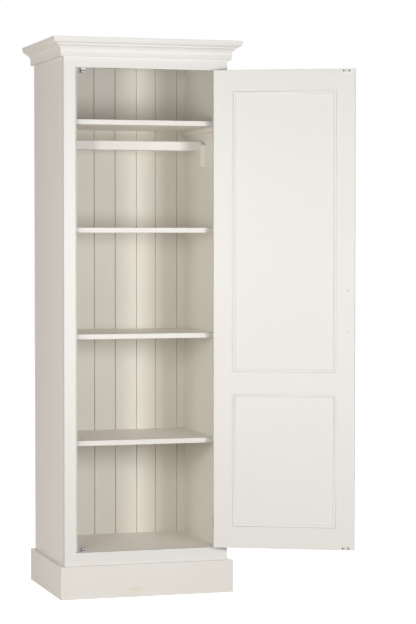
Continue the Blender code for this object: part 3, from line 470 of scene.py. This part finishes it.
# The door's stiles, rails, panels and beads take the darker front copy of the paint, painted shade.
door_level = painted_wood("satin_front_paint_door_rails", ALONG_DOOR, DARKENED_FRONT_PAINT, DARKENED_FRONT_PAINT_THIN, SATIN)


def shut_box(name):
    """The lowest and highest corners of one of the door's nodes with the door shut."""
    return corners(SHUT_DOOR @ vertex.co for vertex in nodes[name].data.vertices)


def put_in_place(piece, seat):
    """Moves a piece that was made elsewhere to its seat, and keeps that place in its mesh."""
    bpy.ops.object.select_all(action="DESELECT")
    piece.select_set(True)
    bpy.context.view_layer.objects.active = piece
    piece.matrix_world = seat
    bpy.ops.object.transform_apply()


free_stile_low, free_stile_high = shut_box("door_free_stile")
hinge_stile_low, hinge_stile_high = shut_box("door_hinge_stile")
panel_low, panel_high = shut_box("door_upper_panel")
door_left, door_right = free_stile_high.x, hinge_stile_low.x
lower_opening = (door_left, door_right, shut_box("door_bottom_rail")[1].z, shut_box("door_middle_rail")[0].z)
upper_opening = (door_left, door_right, shut_box("door_middle_rail")[1].z, shut_box("door_top_rail")[0].z)
groove_front, groove_back = panel_low.y - GROOVE_FIT, panel_high.y + GROOVE_FIT
groove_depth = door_left - panel_low.x + GROOVE_FIT


def faces_opening(middle, normal):
    """Whether a face of the shut door's frame looks into one of its openings."""
    across = door_left - NEAR < middle.x < door_right + NEAR
    up = any(low - NEAR < middle.z < high + NEAR for left, right, low, high in (lower_opening, upper_opening))
    return across and up and abs(normal.y) < STRAIGHT


door_frame = planed_frame("door_frame", free_stile_low, hinge_stile_high, [lower_opening, upper_opening])
round_edges(door_frame, DOOR_ARRIS, lambda end: (
    (end.x < free_stile_low.x + NEAR or end.x > hinge_stile_high.x - NEAR
     or end.z < free_stile_low.z + NEAR or end.z > free_stile_high.z - NEAR)
    and (end.y < free_stile_low.y + NEAR or end.y > free_stile_high.y - NEAR)))
for place in (groove_front, groove_back):
    pick_faces(door_frame, faces_opening)
    bpy.ops.mesh.bisect(plane_co=(0, place, 0), plane_no=(0, 1, 0))
pick_faces(door_frame, lambda middle, normal: (
    faces_opening(middle, normal) and groove_front < middle.y < groove_back))
bpy.ops.mesh.extrude_region_shrink_fatten(TRANSFORM_OT_shrink_fatten={
    "value": -groove_depth, "use_even_offset": True})
shade(door_frame)
paint_frame(door_frame, front_upright, door_level, door_left, door_right)
put_in_place(door_frame, OPEN_DOOR)
fit(door_frame, "door", "front_paint",
    "door_free_stile", "door_hinge_stile", "door_bottom_rail", "door_middle_rail", "door_top_rail")

finish(front_upright, "door_upper_panel", "door_lower_panel")
for opening in ("upper", "lower"):
    for face in ("inner", "outer"):
        smooth_copy(f"door_{opening}_{face}_bead", front_upright, "door", "front_paint")


# Hinges. Three pressed steel butt hinges with a dull nickel plate, screwed on with two small
# countersunk screws a leaf. Plating over rolled sheet gives a soft, slightly uneven shine.
NICKEL = "B4B3AF"
NICKEL_ROUGHNESS = 0.32
SCREW_STEEL = "8E8B85"
SCREW_ROUGHNESS = 0.38
STEEL_GRIT = 0.0006
GRIT_STRETCH = 6
GRIT_DETAIL = 2.0
SHINE_SPREAD = 0.06
LEAF_GAP = 0.00015
LEAF_MIDDLE = 0.0109
HINGE_SCREW_SPACING = 0.030
HINGE_SCREW_RADIUS = 0.0024
SCREW_SIDES = 24
SCREW_NECK = 0.0013
SCREW_HEAD_DEPTH = 0.0008
SCREW_SUNK = 0.0001
RECESS_LENGTH = 1.2
RECESS_WIDTH = 0.3
RECESS_DEPTH = 0.0005


def plated_metal(name, tone, roughness, metallic=1.0):
    """Plated or anodised metal with a fine uneven shine."""
    material, tree, shader = new_material(name)
    grit = streaks(tree, UPRIGHT, STEEL_GRIT, STEEL_GRIT * GRIT_STRETCH, GRIT_DETAIL)
    shine = add_node(tree, "ShaderNodeMapRange", {
        "Value": grit, "To Min": roughness - SHINE_SPREAD, "To Max": roughness + SHINE_SPREAD})
    shader.inputs["Base Color"].default_value = linear(tone)
    shader.inputs["Metallic"].default_value = metallic
    tree.links.new(shine.outputs[0], shader.inputs["Roughness"])
    return material


def countersunk_screw(head_radius, material):
    """A countersunk screw down to its neck, with its head up at Z = 0 and a cross recess."""
    bpy.ops.object.select_all(action="DESELECT")
    bpy.ops.mesh.primitive_cone_add(vertices=SCREW_SIDES, radius1=SCREW_NECK, radius2=head_radius,
                                    depth=SCREW_HEAD_DEPTH, location=(0, 0, -SCREW_HEAD_DEPTH / 2))
    screw = bpy.context.object
    bpy.ops.object.transform_apply()
    bpy.ops.object.mode_set(mode="EDIT")
    pick_faces(screw, lambda middle, normal: normal.z < -STRAIGHT)
    bpy.ops.mesh.extrude_region_move(TRANSFORM_OT_translate={"value": (0, 0, -SCREW_HEAD_DEPTH)})
    bpy.ops.object.mode_set(mode="OBJECT")
    for turn in (0, RIGHT_ANGLE):
        bpy.ops.mesh.primitive_cube_add(size=1.0, rotation=(0, 0, turn))
        blade = bpy.context.object
        blade.scale = (head_radius * RECESS_LENGTH, head_radius * RECESS_WIDTH, 2 * RECESS_DEPTH)
        bpy.ops.object.select_all(action="DESELECT")
        screw.select_set(True)
        bpy.context.view_layer.objects.active = screw
        recess = screw.modifiers.new("recess", "BOOLEAN")
        recess.object = blade
        bpy.ops.object.modifier_apply(modifier=recess.name)
        bpy.data.objects.remove(blade)
    screw.data.materials.append(material)
    return screw


def drive(screw, name, seat, body):
    """Drives a copy of a screw home at a seat whose local Z points out of the wood."""
    copy = screw.copy()
    copy.data = screw.data.copy()
    copy.name = name
    bpy.context.scene.collection.objects.link(copy)
    put_in_place(copy, seat @ Matrix.Translation((0, 0, -SCREW_SUNK)))
    fit(copy, body, "plated_steel")


nickel = plated_metal("nickel_plated_steel", NICKEL, NICKEL_ROUGHNESS)
screw_steel = plated_metal("dulled_screw_steel", SCREW_STEEL, SCREW_ROUGHNESS)
hinge_screw = countersunk_screw(HINGE_SCREW_RADIUS, screw_steel)
for height in ("bottom", "middle", "top"):
    smooth_copy(f"hinge_frame_leaf_{height}", nickel, "carcass", "plated_steel")
    smooth_copy(f"hinge_door_leaf_{height}", nickel, "door", "plated_steel")
    leaf_low, leaf_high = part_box(f"hinge_frame_leaf_{height}")
    for number, step in enumerate((-1, 1), 1):
        up = (leaf_low.z + leaf_high.z) / 2 + step * HINGE_SCREW_SPACING / 2
        on_stile = Matrix.Translation((HINGE_AXIS.x + LEAF_GAP, HINGE_AXIS.y + LEAF_MIDDLE, up))
        on_door = Matrix.Translation((HINGE_AXIS.x - LEAF_GAP, HINGE_AXIS.y + LEAF_MIDDLE, up))
        drive(hinge_screw, f"hinge_{height}_frame_screw_{number}",
              on_stile @ Matrix.Rotation(-RIGHT_ANGLE, 4, "Y"), "carcass")
        drive(hinge_screw, f"hinge_{height}_door_screw_{number}",
              OPEN_DOOR @ on_door @ Matrix.Rotation(RIGHT_ANGLE, 4, "Y"), "door")
bpy.data.objects.remove(hinge_screw)


# Magnetic catches. A folded aluminium case holds a dark pressed ferrite magnet between two steel
# pole plates. Its anodised skin scatters much of the light, so it looks matt grey. The keepers
# on the door are nickel-plated, and are held by darkened screws.
CATCH_GREY = "AEB3B8"
ANODISED_ROUGHNESS = 0.6
ANODISED_METALLIC = 0.4
FERRITE = "34363A"
FERRITE_ROUGHNESS = 0.6
POLE_STEEL = "9A9A98"
POLE_ROUGHNESS = 0.45
POLE_WIDTH = 0.011
POLE_HEIGHT = 0.0013
MAGNET_HEIGHT = 0.0035
POLE_PROUD = 0.0002
MAGNET_PROUD = 0.0001
MAGNET_DEEP = 0.003
KEEPER_SCREW_SPACING = 0.0205
KEEPER_SCREW_RADIUS = 0.0026
DARK_SCREW = "3C3935"
DARK_SCREW_ROUGHNESS = 0.4

catch_case = plated_metal("anodised_aluminium", CATCH_GREY, ANODISED_ROUGHNESS, ANODISED_METALLIC)
pole_steel = plated_metal("bare_pole_steel", POLE_STEEL, POLE_ROUGHNESS)
ferrite = plated_metal("sintered_ferrite", FERRITE, FERRITE_ROUGHNESS)
dark_screw_steel = plated_metal("darkened_screw_steel", DARK_SCREW, DARK_SCREW_ROUGHNESS)
keeper_screw = countersunk_screw(KEEPER_SCREW_RADIUS, dark_screw_steel)
for height in ("bottom", "top"):
    catch_low, catch_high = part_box(f"{height}_catch")
    middle = (catch_low + catch_high) / 2
    front = catch_low.y
    bpy.ops.object.select_all(action="DESELECT")
    bpy.ops.mesh.primitive_cube_add(size=1.0, location=(middle.x, front + (MAGNET_DEEP - MAGNET_PROUD) / 2,
                                                        middle.z))
    magnet = bpy.context.object
    magnet.name = f"{height}_catch_magnet"
    magnet.scale = (POLE_WIDTH, MAGNET_DEEP + MAGNET_PROUD, MAGNET_HEIGHT + 2 * POLE_HEIGHT)
    bpy.ops.object.transform_apply()
    bpy.ops.object.mode_set(mode="EDIT")
    for side in (-1, 1):
        bpy.ops.mesh.select_all(action="SELECT")
        bpy.ops.mesh.bisect(plane_co=(0, 0, middle.z + side * MAGNET_HEIGHT / 2), plane_no=(0, 0, 1))
    pick_faces(magnet, lambda centre, normal: (
        normal.y < -STRAIGHT and abs(centre.z - middle.z) > MAGNET_HEIGHT / 2))
    bpy.ops.mesh.extrude_region_move(TRANSFORM_OT_translate={"value": (0, MAGNET_PROUD - POLE_PROUD, 0)})
    bpy.ops.mesh.select_all(action="SELECT")
    bpy.ops.mesh.normals_make_consistent(inside=False)
    shade(magnet)
    magnet.data.materials.append(ferrite)
    magnet.data.materials.append(pole_steel)
    for face in magnet.data.polygons:
        face.material_index = int(abs(face.center.z - middle.z) > MAGNET_HEIGHT / 2 - NEAR)
    fit(magnet, "carcass", "plated_steel")
    finish(catch_case, f"{height}_catch")
    finish(nickel, f"{height}_keeper")
    keeper_low, keeper_high = shut_box(f"{height}_keeper")
    for number, step in enumerate((-1, 1), 1):
        place = Matrix.Translation(((keeper_low.x + keeper_high.x) / 2 + step * KEEPER_SCREW_SPACING / 2,
                                    keeper_high.y, (keeper_low.z + keeper_high.z) / 2))
        drive(keeper_screw, f"{height}_keeper_screw_{number}",
              OPEN_DOOR @ place @ Matrix.Rotation(-RIGHT_ANGLE, 4, "X"), "door")
bpy.data.objects.remove(keeper_screw)


# Handle. A cast bow in a brushed pewter colour on the door's outer face, whose fine scratches
# soften its shine. Two bolts hold it, and their heads show inside: the upper one is bare dulled
# steel, the lower one was painted over with the door, in a tone a little darker than the door's
# that is painted shade round its head.
PEWTER = "A8A39A"
PEWTER_ROUGHNESS = 0.34
BOLT_STEEL = "A9A6A1"
BOLT_ROUGHNESS = 0.5
SHADED_BOLT_PAINT = "D6D4D0"
SHADED_BOLT_PAINT_THIN = "D3D1CB"
pewter = plated_metal("brushed_pewter", PEWTER, PEWTER_ROUGHNESS)
bolt_steel = plated_metal("dulled_bolt_steel", BOLT_STEEL, BOLT_ROUGHNESS)
shaded_bolt_paint = painted_wood("satin_paint_on_bolt", UPRIGHT, SHADED_BOLT_PAINT, SHADED_BOLT_PAINT_THIN, SATIN)
handle = smooth_copy("door_handle", pewter, "door", "handle_metal")
handle.data.materials.append(bolt_steel)
handle.data.materials.append(shaded_bolt_paint)
handle_low, handle_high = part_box("door_handle")
handle_middle = (handle_low.z + handle_high.z) / 2
for face in handle.data.polygons:
    if (SHUT_DOOR @ face.center).y > free_stile_high.y - NEAR:
        face.material_index = 1 if face.center.z > handle_middle else 2


# Studio. A pale matt floor that glows white to the eye yet takes the cupboard's shadow, and a
# white surround. Three soft boxes stand in front, one a little to the right and two to the left,
# one stands behind, and the room adds an even, slightly warm light.
LIGHT_DISTANCE = 3.6
SOFT_BOXES = {
    "right_box": {"degrees": 14.8, "height": 1.25, "size": (0.76, 1.0), "power": 56.5, "colour": "FFFFFF"},
    "left_box": {"degrees": -37.5, "height": 1.35, "size": (0.45, 1.1), "power": 45.0, "colour": "FFFEFB"},
    "far_left_box": {"degrees": -59.0, "height": 1.3, "size": (0.60, 1.0), "power": 19.5, "colour": "FFFEFB"},
    "back_box": {"degrees": 150.0, "height": 2.3, "size": (1.0, 1.0), "power": 40.0, "colour": "FFFFFF"},
}
ROOM_FILL = 0.18
ROOM_COLOUR = "FFF4E6"
WHITE = (1, 1, 1, 1)
FLOOR = "C8C6C2"
FLOOR_ROUGHNESS = 0.9
FLOOR_GLOW = 0.9
FLOOR_SIZE = 30.0
FLOOR_DROP = 0.0005


def seen_directly(tree):
    """One where the camera, a reflection or a view through glass looks at the surface."""
    path = add_node(tree, "ShaderNodeLightPath")
    shiny = add_node(tree, "ShaderNodeMath", {0: path.outputs["Is Glossy Ray"],
                                              1: path.outputs["Is Transmission Ray"]}, operation="MAXIMUM")
    return add_node(tree, "ShaderNodeMath", {0: path.outputs["Is Camera Ray"],
                                             1: shiny.outputs[0]}, operation="MAXIMUM").outputs[0]


bpy.ops.mesh.primitive_plane_add(size=FLOOR_SIZE, location=(0, 0, -FLOOR_DROP))
floor = bpy.context.object
floor.name = "floor"
material, tree, shader = new_material("pale_floor")
shader.inputs["Base Color"].default_value = linear(FLOOR)
shader.inputs["Roughness"].default_value = FLOOR_ROUGHNESS
shader.inputs["Emission Color"].default_value = WHITE
glow = add_node(tree, "ShaderNodeMath", {0: seen_directly(tree), 1: FLOOR_GLOW}, operation="MULTIPLY")
tree.links.new(glow.outputs[0], shader.inputs["Emission Strength"])
floor.data.materials.append(material)

world = bpy.data.worlds.new("studio")
world.use_nodes = True
bpy.context.scene.world = world
tree = world.node_tree
tree.nodes.clear()
room = add_node(tree, "ShaderNodeBackground", {"Color": linear(ROOM_COLOUR), "Strength": ROOM_FILL})
white = add_node(tree, "ShaderNodeBackground", {"Color": WHITE, "Strength": 1.0})
surround = add_node(tree, "ShaderNodeMixShader", {
    0: seen_directly(tree), 1: room.outputs[0], 2: white.outputs[0]})
add_node(tree, "ShaderNodeOutputWorld", {"Surface": surround.outputs[0]})

for name, box in SOFT_BOXES.items():
    angle = math.radians(box["degrees"])
    place = (math.sin(angle) * LIGHT_DISTANCE, -math.cos(angle) * LIGHT_DISTANCE, box["height"])
    bpy.ops.object.light_add(type="AREA", location=place, rotation=(RIGHT_ANGLE, 0, angle))
    lamp = bpy.context.object
    lamp.name = name
    lamp.data.shape = "RECTANGLE"
    lamp.data.size, lamp.data.size_y = box["size"]
    lamp.data.energy = box["power"]
    lamp.data.color = linear(box["colour"])[:3]


# Camera. It stands to the left at chest height and looks a little down, with a long lens. Its
# place and turn are the ones from which the cupboard's edges fall as in the photograph.
CAMERA_PLACE = (-2.0458, -7.4103, 1.2924)
CAMERA_DOWN_DEGREES = 2.0
CAMERA_RIGHT_DEGREES = 17.06
CAMERA_LENS = 123.58
CAMERA_SENSOR = 36.0
bpy.ops.object.camera_add(location=CAMERA_PLACE, rotation=(
    RIGHT_ANGLE - math.radians(CAMERA_DOWN_DEGREES), 0, -math.radians(CAMERA_RIGHT_DEGREES)))
camera = bpy.context.object
camera.data.lens = CAMERA_LENS
camera.data.sensor_width = CAMERA_SENSOR
bpy.context.scene.camera = camera
bpy.context.scene.view_settings.view_transform = "Standard"
